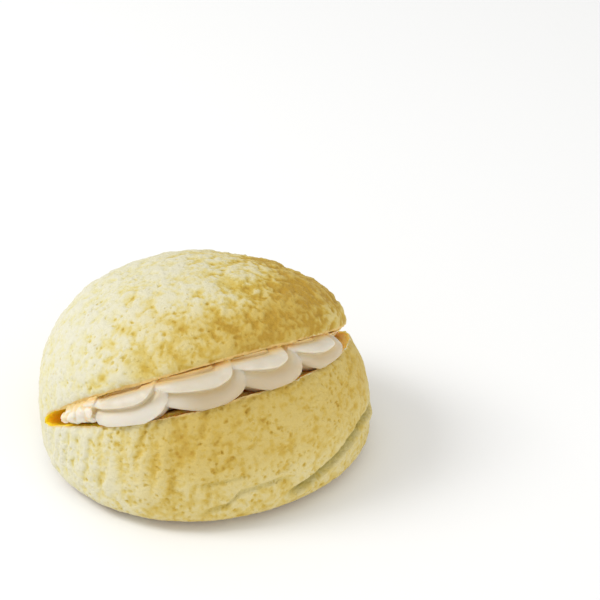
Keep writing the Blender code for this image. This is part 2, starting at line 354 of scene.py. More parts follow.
def loaf_points(directions):
    """Skin points of the loaf, its lid lifted, for directions on the unit sphere."""
    dx, dy, dz = directions.T
    upper = dz > 0.0
    power = np.where(upper, 2.0 / DOME_SQUARENESS, 2.0 / FOOT_SQUARENESS)
    depth = np.abs(dz) ** power
    height = np.where(upper, BELLY + (CROWN - BELLY) * depth, BELLY * (1.0 - depth))
    azimuth = np.arctan2(dy, dx)
    radius = RADIUS * np.hypot(dx, dy) ** power * swelling(azimuth, height)
    shift = climb(height) ** LEAN_POWER
    x = radius * np.cos(azimuth) + LEAN[0] * shift
    y = radius * np.sin(azimuth) + LEAN[1] * shift
    above_cut = height - cut_middle(x, y)
    hold = ease(above_cut / LIFT_BLEND + 0.5) * ease(height / LIFT_FULL)
    height = height + lid_lift(y) * hold
    return np.stack([x, y, np.maximum(height, UNDERSIDE_CUT)], axis=1)


# ---------------------------------------------------------------- meshes

def mesh_object(name, verts, faces):
    mesh = bpy.data.meshes.new(name)
    mesh.from_pydata(np.asarray(verts).tolist(), [], faces)
    obj = bpy.data.objects.new(name, mesh)
    bpy.context.scene.collection.objects.link(obj)
    return obj


def coordinates(mesh):
    flat = np.empty(3 * len(mesh.vertices))
    mesh.vertices.foreach_get("co", flat)
    return flat.reshape(-1, 3)


def normals(mesh):
    flat = np.empty(3 * len(mesh.vertices))
    mesh.vertices.foreach_get("normal", flat)
    return flat.reshape(-1, 3)


def move_to(mesh, points):
    mesh.vertices.foreach_set("co", np.ascontiguousarray(points).ravel())
    mesh.update()


def face_out(mesh):
    bm = bmesh.new()
    bm.from_mesh(mesh)
    bmesh.ops.recalc_face_normals(bm, faces=bm.faces)
    bm.to_mesh(mesh)
    bm.free()


def store(mesh, name, values):
    attribute = mesh.attributes.new(name, "FLOAT", "POINT")
    attribute.data.foreach_set("value", np.ascontiguousarray(values, dtype=np.float32))


def combine(obj, operation, *tools):
    """Carries out Booleans for good, and removes the tools."""
    for tool in tools:
        modifier = obj.modifiers.new(tool.name, "BOOLEAN")
        modifier.operation = operation
        modifier.solver = "EXACT"
        modifier.material_mode = "TRANSFER"
        modifier.object = tool
    result = bpy.data.meshes.new_from_object(obj.evaluated_get(bpy.context.evaluated_depsgraph_get()))
    obj.modifiers.clear()
    obj.data = result
    for tool in tools:
        bpy.data.objects.remove(tool, do_unlink=True)


def thin_out(obj, triangles):
    """Leaves a number of triangles, most of them where the surface is uneven."""
    obj.data.calc_loop_triangles()
    modifier = obj.modifiers.new("thin_out", "DECIMATE")
    modifier.ratio = min(triangles / len(obj.data.loop_triangles), 1.0)
    result = bpy.data.meshes.new_from_object(obj.evaluated_get(bpy.context.evaluated_depsgraph_get()))
    obj.modifiers.clear()
    obj.data = result


def closed_loft(rings):
    """Vertices and faces of a tube through equal rings of points, capped at both ends."""
    count, size = len(rings), len(rings[0])
    faces = [tuple(range(size))]
    for first in range(0, size * (count - 1), size):
        for k in range(size):
            after = (k + 1) % size
            faces.append((first + k, first + size + k, first + size + after, first + after))
    faces.append(tuple(range(count * size - 1, (count - 1) * size - 1, -1)))
    return np.concatenate([np.asarray(ring) for ring in rings]), faces


def skin_directions(cells):
    """A cube's grid blown up to a sphere, its cells drawn together over the dome."""
    bm = bmesh.new()
    bmesh.ops.create_cube(bm, size=2.0)
    bmesh.ops.subdivide_edges(bm, edges=bm.edges[:], cuts=cells - 1, use_grid_fill=True)
    bm.verts.index_update()
    points = np.array([vert.co for vert in bm.verts])
    faces = [tuple(vert.index for vert in face.verts) for face in bm.faces]
    bm.free()
    points = np.tan(points * pi / 4.0)
    points /= np.linalg.norm(points, axis=1)[:, None]
    polar = np.arccos(np.clip(points[:, 2], -1.0, 1.0)) / pi
    upper = polar < DOME_SHARE
    warped = np.where(upper, 0.5 * polar / DOME_SHARE,
                      0.5 + 0.5 * (polar - DOME_SHARE) / (1.0 - DOME_SHARE)) * pi
    azimuth = np.arctan2(points[:, 1], points[:, 0])
    ring = np.sin(warped)
    directions = np.stack([ring * np.cos(azimuth), ring * np.sin(azimuth), np.cos(warped)], axis=1)
    return directions, faces


# ---------------------------------------------------------------- the bread

def groove(azimuth, height, path, width):
    """How near a place is to a crease that runs through (azimuth, height) points, and on
    which side: the crease's own profile, and that of the roll of dough below it."""
    turns, heights = np.array(path).T
    degrees = np.degrees(azimuth)
    middle = np.interp(degrees, turns, heights * MM)
    ends = ease((degrees - turns[0]) / 9.0) * ease((turns[-1] - degrees) / 9.0)
    above = (height - middle) / width
    return ends * np.exp(-above ** 2), ends * np.exp(-((above + 1.9) / 1.3) ** 2)


def dent(points, place, size):
    """A round hollow at a place: 1 in its middle, 0 outside it."""
    away = np.linalg.norm(points - np.array(place) * MM, axis=1) / (size * MM)
    return ease(1.0 - away)


def lip_nearness(points, reach):
    """1 at the slit's lips, falling to 0 at a reach from them."""
    x, y, z = points.T
    steepness = 1.0 / np.hypot(1.0, CUT_SLOPE)
    above = np.maximum(z - pocket_ceiling(x, y), 0.0) * steepness
    below = np.maximum(pocket_floor(x, y) - z, 0.0) * steepness
    near = np.where(z > cut_middle(x, y), above, below)
    slit = ease((POCKET_END - y) / LIP_END)
    return slit * np.clip(1.0 - near / reach, 0.0, 1.0)


def browning(points):
    """How golden the crust is coloured: partly its browning, partly painted light and shade, lightest towards the
    key light and on the lid's top.
    """
    x, y, height = points.T
    toward = x * cos(GOLDEN_SIDE) + y * sin(GOLDEN_SIDE)
    behind = (points - (0.0, 0.0, CROWN / 2)) @ np.array(BACK_SIDE)
    back = BACK_BROWNING * ease((behind - BACK_START) / BACK_FADE)
    baked_and_painted_light = np.clip((toward - PALEST) / (MOST_GOLDEN - PALEST), back, 1.0)
    # painted light: lighter on the lid's top
    paler = TOP_PAINTED_LIGHT * ease((height - TOP_START) / TOP_FADE)
    # painted light: lighter at the lid's far edge
    paler = paler + EDGE_PAINTED_LIGHT * ease((toward - EDGE_START) / EDGE_FADE)
    over = baked_and_painted_light * (LID_BROWNING - paler)
    # below the slit the crust is more golden: partly browning, partly painted shade on its steep sides
    upper = ease((height - 12 * MM) / (17 * MM))
    side, most = [low + (high - low) * upper for low, high in (SIDE_BROWNING_AND_SHADE, MOST_BROWNING_AND_SHADE)]
    # painted light on the body's far side
    most = most - FAR_PAINTED_LIGHT * ease((toward - FAR_START) / FAR_FADE)
    lid = ease((height - cut_middle(x, y)) / (14 * MM) + 0.5)
    return lid * np.minimum(over, 1.0) + (1.0 - lid) * np.minimum(side * baked_and_painted_light, most)


def skin_relief(points):
    """Height of the biscuit crust's relief over the smooth loaf, how hollow it is, and how much painted shade its
    creases take."""
    low, mid, fine = Field(11), Field(12), Field(13)
    x, y, height = points.T
    azimuth = np.arctan2(y, x)
    across = x * cos(LUMPY_SIDE) + y * sin(LUMPY_SIDE)
    above_cut = ease((height - cut_middle(x, y)) / (4 * MM) + 0.5)
    foot = ease((height - 1.5 * MM) / (5 * MM))
    lumpy = ease((across + 6 * MM) / (24 * MM)) * above_cut
    side = (1.0 - above_cut) * ease((height - 4 * MM) / (9 * MM))
    wrinkled = side * ease((20 * MM - across) / (30 * MM))
    cracked = side * ease((across + 12 * MM) / (25 * MM))

    relief = 0.50 * MM * low.smooth(points, 21 * MM) + 0.30 * MM * mid.smooth(points, 9 * MM)
    # soft puffs like a cauliflower's on one side of the lid
    bent = points + 1.6 * MM * low.bending(points, 7 * MM)
    puffs = mid.pillows(bent, 13 * MM, 0.30)
    buds = low.pillows(bent + 0.4, 6.0 * MM, 0.28)
    relief += 1.10 * MM * lumpy * (puffs - 0.5) + 0.42 * MM * lumpy * (buds - 0.5)
    # a curdled surface all over, with irregular little pits in clusters
    strength = 0.90 + 0.60 * lumpy - 0.15 * side
    bent = points + 0.45 * MM * fine.bending(points, 2.4 * MM)
    curds = 0.9 * fine.smooth(bent, 2.5 * MM) + 0.7 * (mid.pillows(bent, 3.3 * MM, 0.26) - 0.5)
    specks = 0.9 * mid.smooth(points, 1.4 * MM) + 0.6 * (low.pillows(points, 1.9 * MM) - 0.5)
    relief += strength * MM * (0.21 * curds + 0.14 * specks)
    # and lumps, broader on the lid
    lumps = low.smooth(bent, 5.0 * MM) + 0.8 * (fine.pillows(bent, 7.5 * MM, 0.26) - 0.5)
    relief += (0.45 + 0.55 * above_cut) * 0.34 * MM * lumps
    cluster = low.smooth(points + 0.3, 11 * MM) + 0.5 * mid.smooth(points + 0.2, 5 * MM)
    crowd = ease(0.65 + 1.2 * cluster) * (1.0 - 0.35 * lumpy)
    pitted = points + 0.5 * MM * fine.bending(points, 1.3 * MM)
    pits = ease(1.7 * fine.dots(pitted, 1.9 * MM, 0.70, 0.55)) * crowd * ease(0.8 - specks)
    relief -= 0.34 * MM * pits
    # wrinkles that run down the side below the slit
    down = np.stack([RADIUS * np.cos(azimuth), RADIUS * np.sin(azimuth), 0.20 * height], axis=1)
    down = down + 0.6 * MM * fine.bending(points, 3.5 * MM)
    ridges = 0.9 * (mid.pillows(down, 5.0 * MM, 0.30) - 0.55) + 0.8 * fine.rough(down, 3.2 * MM, 2)
    relief += 0.75 * MM * wrinkled * ridges
    # soft wavy ones that run along the other side
    around = azimuth * RADIUS
    along = np.stack([around + 0.3 * height, 2.0 * (height - 0.3 * around), np.hypot(x, y)], axis=1)
    along = along + 1.5 * MM * mid.bending(points, 5 * MM)
    broken = ease(1.6 * fine.smooth(points + 0.7, 5 * MM) + 1.2 * low.smooth(points, 11 * MM) + 0.15)
    folds = mid.wrinkles(along, 12 * MM, 1.7 * MM) * broken
    relief -= 0.40 * MM * cracked * folds
    spotted = points + 0.45 * MM * mid.bending(points, 1.1 * MM)
    spots = ease(1.5 * mid.dots(spotted, 1.6 * MM, 0.65, 0.50)) * ease(0.9 + cluster)
    spots = spots * (1.0 - 0.5 * above_cut)
    relief -= 0.18 * MM * spots
    hollow = 0.12 - 0.42 * curds - 0.36 * specks
    hollow -= 0.38 * lumps * (0.25 + 0.75 * above_cut)
    hollow = strength * hollow + lumpy * (0.40 * (0.5 - puffs) + 0.30 * (0.5 - buds))
    hollow += cracked * (0.22 * folds - 0.04) - 0.40 * wrinkled * ridges - 0.08 * side
    hollow = hollow + 0.50 * pits + 0.30 * spots
    # painted shade for the creases, by their depth
    painted_crease_shade = np.zeros(len(points))
    for path, width, depth, roll in CREASES:
        crease, rolled = groove(azimuth, height, path, width)
        relief += roll * rolled - depth * crease
        painted_crease_shade = np.maximum(painted_crease_shade, crease * depth / CREASES[0][2])
    for place, size, depth in DENTS:
        pressed = dent(points, place, size)
        relief -= depth * pressed
        hollow = np.maximum(hollow, 0.75 * pressed + 0.5 * pressed * curds)
    relief -= LIP_ROUNDING * lip_nearness(points, LIP_REACH) ** 2
    return relief * foot, hollow * foot, painted_crease_shade * foot


def make_skin():
    directions, faces = skin_directions(SKIN_CELLS)
    points = loaf_points(directions)
    bun = mesh_object("bun_bread", points, faces)
    face_out(bun.data)
    relief, hollow, painted_crease_shade = skin_relief(points)
    moved = points + normals(bun.data) * relief[:, None]
    moved[:, 2] = np.maximum(moved[:, 2], UNDERSIDE_CUT)
    move_to(bun.data, moved)
    store(bun.data, "hollow", hollow)
    store(bun.data, "painted_crease_shade", painted_crease_shade)
    store(bun.data, "baked_and_painted_light", browning(points))
    return bun


def pocket_space(name, gap, stations, rows, end_rows):
    """The pocket as a solid that runs out through the mouth, a gap smaller all round."""
    turns = 0.5 * pi * np.arange(1, end_rows) / end_rows
    ys = POCKET_END - gap - END_ROUNDING * (1.0 - np.cos(turns))
    ys = np.concatenate([ys, np.linspace(ys[-1], -CUT_REACH[1], rows + 1)[1:]])
    rings = []
    for x in np.linspace(-CUT_REACH[0], CUT_REACH[0], stations):
        middle = cut_middle(x, ys)
        low = np.minimum(pocket_floor(x, ys) + gap, middle - THINNEST_SPACE)
        high = np.maximum(pocket_ceiling(x, ys) - gap, middle + THINNEST_SPACE)
        end = [(x, POCKET_END - gap, cut_middle(x, POCKET_END - gap))]
        floor = [(x, y, z) for y, z in zip(ys, low)]
        ceiling = [(x, y, z) for y, z in zip(ys[::-1], high[::-1])]
        rings.append(end + floor + ceiling)
    space = mesh_object(name, *closed_loft(rings))
    face_out(space.data)
    return space


def make_bread(crust, crumb):
    bun = make_skin()
    bun.data.materials.append(crust)
    pocket = pocket_space("pocket", 0.0, CUT_STATIONS, CUT_ROWS, END_ROWS)
    pocket.data.materials.append(crumb)
    points = coordinates(pocket.data)
    torn = Field(31)
    pores = ease(1.5 * torn.dots(points, 2.4 * MM, 0.6))
    shift = 0.16 * MM * torn.rough(points, 2.2 * MM) + 0.35 * MM * pores
    shift += LIP_WAVE * torn.smooth(points, LIP_WAVE_LENGTH)
    move_to(pocket.data, points + normals(pocket.data) * shift[:, None])
    store(pocket.data, "hollow", pores)
    combine(bun, "DIFFERENCE", pocket)
    thin_out(bun, BREAD_TRIANGLES)
    points = coordinates(bun.data)
    x, y, z = points.T
    on_lid = z > cut_middle(x, y)
    lift = np.where(on_lid, lid_lift(y), 0.0)
    store(bun.data, "inside", skin_distance(x, y, z - lift) / MM)
    store(bun.data, "rim", np.where(on_lid, 1.0, 0.5) * lip_nearness(points, LIP_BAND_REACH))
    return bun


# ---------------------------------------------------------------- the mouth

class Mouth:
    """The open mouth as a curved strip, measured along it, up it and out of it."""

    def __init__(self):
        start = CORE_START - MOUTH_MARGIN
        stop = CORE_STOP + MOUTH_MARGIN
        self.azimuths = np.linspace(start, stop, MOUTH_STATIONS)
        self.low = self.lips(pocket_floor, 0.0)
        self.high = self.lips(pocket_ceiling, LID_LIFT)
        middles = (self.low + self.high) / 2
        steps = np.linalg.norm(np.diff(middles, axis=0), axis=1)
        self.along = np.concatenate([[0.0], np.cumsum(steps)])
        self.along -= np.interp(1.5 * pi, self.azimuths, self.along)

    def lips(self, surface, lift):
        """Where a pocket surface, seen from the loaf's axis, comes out through the skin."""
        inside = np.zeros(MOUTH_STATIONS)
        outside = np.full(MOUTH_STATIONS, 1.2 * RADIUS)
        for _ in range(LIP_SEARCH_STEPS):
            radius = 0.5 * (inside + outside)
            x = radius * np.cos(self.azimuths)
            y = radius * np.sin(self.azimuths)
            height = surface(x, y)
            within = skin_distance(x, y, height - lift) > 0.0
            inside = np.where(within, radius, inside)
            outside = np.where(within, outside, radius)
        return np.stack([x, y, height], axis=1)

    def at(self, along):
        """Lower and upper lips at lengths along the mouth."""
        low = np.stack([np.interp(along, self.along, self.low[:, k]) for k in range(3)], axis=-1)
        high = np.stack([np.interp(along, self.along, self.high[:, k]) for k in range(3)], axis=-1)
        return low, high

    def points(self, along, down, out):
        """Points at distances down from the upper lip and out of the mouth."""
        along, down, out = np.broadcast_arrays(along, down, out)
        low, high = self.at(along)
        ahead = sum(self.at(along + MOUTH_STEP))
        behind = sum(self.at(along - MOUTH_STEP))
        upward = high - low
        upward = upward / np.linalg.norm(upward, axis=-1)[..., None]
        outward = np.cross(ahead - behind, upward)
        outward = outward / np.linalg.norm(outward, axis=-1)[..., None]
        return high - upward * down[..., None] + outward * out[..., None]


# ---------------------------------------------------------------- the cream

def cream_core(mouth):
    """The filling in the pocket, up to a face behind the piped shells."""
    start, stop = np.interp([CORE_START, CORE_STOP], mouth.azimuths, mouth.along)
    shares = (np.arange(CORE_ROWS + 1) / CORE_ROWS) ** CORE_ROW_CROWDING
    rings = []
    for along in np.linspace(start, stop, CORE_SECTIONS):
        low, high = mouth.at(along)
        height = np.linalg.norm(high - low)
        bulge = END_BULGE * np.exp(-((along - start) / END_BULGE_LENGTH) ** 2)
        top, foot = mouth.points(along, np.array(CORE_FACE) * height, bulge - np.array(CORE_INSET))
        inner = np.array((CORE_BACK_SHARE * foot[0], POCKET_END - CORE_BACK, 0.0))
        floor = inner + shares[:, None] * (foot - inner)
        ceiling = inner + shares[::-1, None] * (top - inner)
        floor[:, 2] = pocket_floor(floor[:, 0], floor[:, 1]) + CORE_GAP
        ceiling[:, 2] = pocket_ceiling(ceiling[:, 0], ceiling[:, 1]) - CORE_GAP
        rings.append(np.concatenate([floor, ceiling]))
    core = mesh_object("cream_filling", *closed_loft(rings))
    face_out(core.data)
    # painted shade: the core behind the shells is coloured like a deep furrow
    store(core.data, "furrow", np.full(len(core.data.vertices), 0.8))
    return core


def star_section(turn):
    """Outline of the nozzle's star, as distances below the spine and out of the mouth."""
    count = STAR_POINTS * FLUTE_POINTS
    angles = 2.0 * pi * np.arange(count) / count
    along_flute = (np.arange(count) % FLUTE_POINTS) / FLUTE_POINTS
    cut_in = along_flute / FURROW_SHARE
    bulging = (np.clip(1.0 - along_flute, 0.0, 1.0) / (1.0 - FURROW_SHARE)) ** LOBE_ROUNDNESS
    furrow = np.minimum(cut_in, bulging)
    radius = STAR_RADIUS * (1.0 - STAR_FURROW * furrow)
    below = STAR_CENTRE[0] + radius * np.sin(angles + turn)
    out = STAR_CENTRE[1] + radius * np.cos(angles + turn)
    return np.maximum(below, FLAT_TOP), out, furrow


def piped_shell(mouth, name, curl, scale, tail, draw, nozzle_turn):
    """One shell: the star grows along its tail, then turns up about the end of its spine."""
    below, out, furrow = star_section(nozzle_turn)
    below = below * scale
    out = out * scale
    rings = []
    for k in range(TAIL_STATIONS):
        share = cos(0.5 * pi * k / TAIL_STATIONS)
        size = SMALLEST_TAIL + (1.0 - SMALLEST_TAIL) * (1.0 - share ** TAIL_GROWTH)
        size = size * (1.0 - TAIL_ROUNDING * (1.0 - ease(k / TAIL_ROUNDED)))
        along = curl - TAIL_OVERRUN * tail * share
        sunk = out * size - TAIL_SINK * share ** 2
        rings.append(mouth.points(along, SPINE_DROP + below * size, sunk))
    middle = STAR_CENTRE[0] * scale
    for k in range(CURL_STATIONS + 1):
        turn = CURL_TURN * k / CURL_STATIONS
        closed = ease((turn - CURL_CLOSING) / (CURL_TURN - CURL_CLOSING))
        closing = 1.0 - (1.0 - TIP_SHARE) * closed
        drawn_in = np.where(below > middle, middle + (below - middle) * closing, below)
        along = curl + draw * drawn_in * sin(turn)
        rise = SPINE_DROP + drawn_in * cos(turn)
        rings.append(mouth.points(along, rise, out - TIP_SINK * closed ** 2))
    shell = mesh_object(name, *closed_loft(rings))
    face_out(shell.data)
    store(shell.data, "furrow", np.tile(furrow, len(rings)))
    return shell


def torn_lump(mouth):
    """The uneven lump of cream in the mouth's corner, where the piping was begun."""
    start = np.interp(CORE_START, mouth.azimuths, mouth.along)
    angles = 2.0 * pi * np.arange(TORN_POINTS) / TORN_POINTS
    rings = []
    for along in start + TORN_LENGTH * np.linspace(0.0, 1.0, TORN_STATIONS):
        low, high = mouth.at(along)
        half = np.linalg.norm(high - low) / 2
        out = 4.4 * MM * np.cos(angles) - 3.0 * MM
        rings.append(mouth.points(along, half * (1.0 - 0.94 * np.sin(angles)), out))
    lump = mesh_object("torn_lump", *closed_loft(rings))
    face_out(lump.data)
    store(lump.data, "furrow", np.full(len(lump.data.vertices), 0.1))
    return lump


def melt_together(name, parts):
    """One even mesh round all the parts, which it removes; each point takes the furrow's
    depth of the nearest point."""
    verts, faces, furrow = [], [], []
    for part in parts:
        first = len(verts)
        verts.extend(coordinates(part.data).tolist())
        faces.extend(tuple(first + k for k in face.vertices) for face in part.data.polygons)
        furrow.extend(item.value for item in part.data.attributes["furrow"].data)
        bpy.data.objects.remove(part, do_unlink=True)
    obj = mesh_object(name, verts, faces)
    modifier = obj.modifiers.new("melt", "REMESH")
    modifier.mode = "VOXEL"
    modifier.voxel_size = CREAM_GRAIN
    obj.data = bpy.data.meshes.new_from_object(obj.evaluated_get(bpy.context.evaluated_depsgraph_get()))
    obj.modifiers.clear()
    tree = KDTree(len(verts))
    for k, vert in enumerate(verts):
        tree.insert(vert, k)
    tree.balance()
    nearest = [tree.find(point)[1] for point in coordinates(obj.data)]
    return obj, np.array(furrow)[nearest]


def make_cream(material):
    mouth = Mouth()
    shells = [piped_shell(mouth, f"shell_{k + 1}", *shell) for k, shell in enumerate(SHELLS)]
    cream, furrow = melt_together("cream_filling", [cream_core(mouth), torn_lump(mouth)] + shells)
    points = coordinates(cream.data)
    azimuth = np.arctan2(points[:, 1], points[:, 0]) % (2.0 * pi)
    start = np.interp(CORE_START, mouth.azimuths, mouth.along)
    along = np.interp(azimuth, mouth.azimuths, mouth.along) - start
    torn = ease((TORN_LENGTH + TORN_FADE - along) / TORN_FADE) * ease((HINGE_Y - points[:, 1]) / TORN_FADE)
    curdled, whipped = Field(41), Field(42)
    bent = points + 0.8 * MM * whipped.bending(points, 2.5 * MM)
    lumps = curdled.pillows(bent, 5.0 * MM, 0.25) - 0.5 + 0.4 * whipped.rough(bent, 2.2 * MM, 2)
    streaks = whipped.smooth(points, 5.0 * MM) + 0.4 * curdled.smooth(points, 2.2 * MM)
    shift = 0.9 * MM * torn * lumps + 0.09 * MM * streaks
    points = points + normals(cream.data) * shift[:, None]
    x, y, z = points.T
    points[:, 1] = np.minimum(y, POCKET_END)
    y = points[:, 1]
    points[:, 2] = np.clip(z, pocket_floor(x, y) - CREAM_GRIP, pocket_ceiling(x, y) + CREAM_GRIP)
    move_to(cream.data, points)
    store(cream.data, "furrow", furrow)
    store(cream.data, "torn", torn * (0.5 - lumps))
    share = (pocket_ceiling(x, y) - z) / (pocket_ceiling(x, y) - pocket_floor(x, y))
    # painted shade under the lid, strongest at the upper lip
    store(cream.data, "lid_painted_shade", np.clip(1.0 - share / TUCKED_SHARE, 0.0, 1.0))
    lower = ease((share - 0.45) / 0.25)
    first = ease(-(x + 18 * MM) / (14 * MM))
    # painted shade: the lower lobes from the second shell on are darker and warmer
    store(cream.data, "lower_painted_shade", lower * (1.0 - first))
    # painted light on the first shell's lower lobe, and a paler tone on the torn lump
    store(cream.data, "paler_and_painted_light", np.maximum(lower * first, torn))
    thin_out(cream, CREAM_TRIANGLES)
    cream.data.materials.clear()
    cream.data.materials.append(material)
    return cream


# ---------------------------------------------------------------- materials

class Nodes:
    """Builds a material's nodes from short calls."""

    def __init__(self, name):
        self.material = bpy.data.materials.new(name)
        self.material.use_nodes = True
        self.tree = self.material.node_tree
        self.shader = self.tree.nodes["Principled BSDF"]

    def add(self, kind, settings=(), **inputs):
        node = self.tree.nodes.new(kind)
        for key, value in dict(settings).items():
            setattr(node, key, value)
        for key, value in inputs.items():
            self.set(node, key.replace("_", " "), value)
        return node

    def set(self, node, key, value):
        socket = node.inputs[int(key) if key.isdigit() else key]
        if isinstance(value, bpy.types.NodeSocket):
            self.tree.links.new(value, socket)
        else:
            socket.default_value = value

    def attribute(self, name):
        return self.add("ShaderNodeAttribute", {"attribute_name": name}).outputs["Fac"]

    def noise(self, place, scale, detail):
        node = self.add("ShaderNodeTexNoise", Vector=place, Scale=scale, Detail=detail)
        return node.outputs["Fac"]

    def math(self, operation, first, second, clamp=False):
        node = self.add("ShaderNodeMath", {"operation": operation, "use_clamp": clamp})
        self.set(node, "0", first)
        self.set(node, "1", second)
        return node.outputs["Value"]

    def scaled(self, value, low, high, to_low=0.0, to_high=1.0):
        """A value mapped from low..high to 0..1, or to another range, and clamped."""
        node = self.add("ShaderNodeMapRange", {"clamp": True}, Value=value)
        for key, number in zip(("From Min", "From Max", "To Min", "To Max"), (low, high, to_low, to_high)):
            node.inputs[key].default_value = number
        return node.outputs["Result"]

    def ramp(self, value, *stops):
        node = self.add("ShaderNodeValToRGB", Fac=value)
        elements = node.color_ramp.elements
        while len(elements) < len(stops):
            elements.new(0.5)
        for element, (position, colour) in zip(elements, stops):
            element.position = position
            element.color = (*colour, 1.0)
        return node.outputs["Color"]

    def mix(self, share, first, second):
        node = self.add("ShaderNodeMix", {"data_type": "RGBA"})
        for key, value in ((0, share), (6, first), (7, second)):
            if isinstance(value, tuple):
                value = (*value, 1.0)
            self.set(node, str(key), value)
        return node.outputs[2]

    def bump(self, height, distance, strength):
        node = self.add("ShaderNodeBump", Height=height, Distance=distance, Strength=strength)
        self.set(self.shader, "Normal", node.outputs["Normal"])


def crust_material():
    nodes = Nodes("melon_pan_crust")
    place = nodes.add("ShaderNodeTexCoord").outputs["Object"]
    hollow = nodes.attribute("hollow")
    patches = nodes.noise(place, 90.0, 4.0)
    height = nodes.add("ShaderNodeSeparateXYZ", Vector=place).outputs["Z"]
    # how golden the crust is: partly browning, partly painted light and shade, with random patches and the hollows
    # added
    baked_and_painted_light = nodes.math("ADD", nodes.attribute("baked_and_painted_light"), nodes.scaled(patches, 0.30, 0.70, -0.05, 0.05))
    baked_and_painted_light = nodes.math("ADD", baked_and_painted_light, nodes.math("MULTIPLY", hollow, 0.66))
    colour = nodes.ramp(nodes.math("MULTIPLY", baked_and_painted_light, 0.785),
                        (0.0, (0.695, 0.665, 0.50)), (0.25, (0.685, 0.635, 0.42)),
                        (0.41, (0.67, 0.58, 0.295)), (0.56, (0.625, 0.49, 0.162)),
                        (0.75, (0.55, 0.378, 0.065)), (1.0, (0.465, 0.275, 0.026)))
    # the hollows are yellower
    parts = nodes.add("ShaderNodeSeparateColor", Color=colour).outputs
    yellower = nodes.scaled(hollow, -0.5, 0.8, 1.19, 0.77)
    blue = nodes.math("MULTIPLY", parts["Blue"], yellower)
    colour = nodes.add("ShaderNodeCombineColor", Red=parts["Red"], Green=parts["Green"], Blue=blue).outputs["Color"]
    # pinholes, a few of them browner
    pins = nodes.scaled(nodes.add("ShaderNodeTexVoronoi", Vector=place, Scale=620.0).outputs["Distance"], 0.26, 0.12)
    spread = nodes.scaled(nodes.noise(place, 130.0, 3.0), 0.50, 0.62)
    pins = nodes.math("MULTIPLY", pins, spread, clamp=True)
    colour = nodes.mix(nodes.math("MULTIPLY", pins, 0.5), colour, (0.60, 0.42, 0.07))
    # painted shade: dark olive in the creases where the crust rolls under
    colour = nodes.mix(nodes.math("MULTIPLY", nodes.attribute("painted_crease_shade"), 0.75), colour, (0.38, 0.34, 0.08))
    # an orange band along the slit's lips, weaker on the lower one
    rim = nodes.math("MULTIPLY", nodes.attribute("rim"), nodes.scaled(nodes.noise(place, 240.0, 3.0), 0.3, 0.6, 0.3, 1.6))
    colour = nodes.mix(nodes.scaled(rim, 0.25, 0.65), colour, (0.72, 0.50, 0.17))
    # the browned underside
    uneven = nodes.math("ADD", height, nodes.scaled(patches, 0.3, 0.7, 0.0008, -0.0008))
    under = nodes.scaled(uneven, 0.0032, 0.0008)
    colour = nodes.mix(under, colour, (0.46, 0.26, 0.08))
    nodes.set(nodes.shader, "Base Color", colour)
    rough = nodes.scaled(nodes.noise(place, 500.0, 3.0), 0.3, 0.7, 0.62, 0.82)
    nodes.set(nodes.shader, "Roughness", rough)
    curds = nodes.math("ABSOLUTE", nodes.math("SUBTRACT", nodes.noise(place, 420.0, 2.0), 0.5), 0.0)
    grain = nodes.math("ADD", nodes.noise(place, 900.0, 4.0), nodes.math("MULTIPLY", curds, 2.0))
    grain = nodes.math("SUBTRACT", grain, nodes.math("MULTIPLY", pins, 0.3))
    nodes.bump(grain, 0.0004, 1.0)
    return nodes.material


def crumb_material():
    nodes = Nodes("bread_crumb")
    place = nodes.add("ShaderNodeTexCoord").outputs["Object"]
    inside = nodes.attribute("inside")
    hollow = nodes.attribute("hollow")
    wobble = nodes.scaled(nodes.noise(place, 400.0, 3.0), 0.3, 0.7, -0.2, 0.2)
    depth = nodes.math("ADD", inside, wobble)
    pores = nodes.noise(place, 700.0, 4.0)
    crumb = nodes.ramp(pores, (0.30, (0.98, 0.58, 0.13)), (0.62, (0.98, 0.64, 0.18)))
    crumb = nodes.mix(hollow, crumb, (0.92, 0.54, 0.03))
    # painted light: yellower, slightly brighter crumb in the slit's left corner, where light from the left reaches
    across = nodes.add("ShaderNodeSeparateXYZ", Vector=place).outputs["X"]
    crumb = nodes.mix(nodes.scaled(across, -0.038, -0.044), crumb, (0.97, 0.68, 0.02))
    edge = nodes.ramp(depth, (0.0, (0.74, 0.50, 0.13)), (1.0, (0.78, 0.56, 0.18)))
    colour = nodes.mix(nodes.scaled(depth, 0.1, 0.5), edge, crumb)
    nodes.set(nodes.shader, "Base Color", colour)
    nodes.set(nodes.shader, "Roughness", nodes.scaled(pores, 0.3, 0.7, 0.75, 0.95))
    nodes.set(nodes.shader, "Subsurface Weight", 0.8)
    nodes.set(nodes.shader, "Subsurface Scale", 0.008)
    nodes.set(nodes.shader, "Subsurface Radius", (1.0, 0.6, 0.2))
    nodes.bump(pores, 0.0005, 1.0)
    return nodes.material


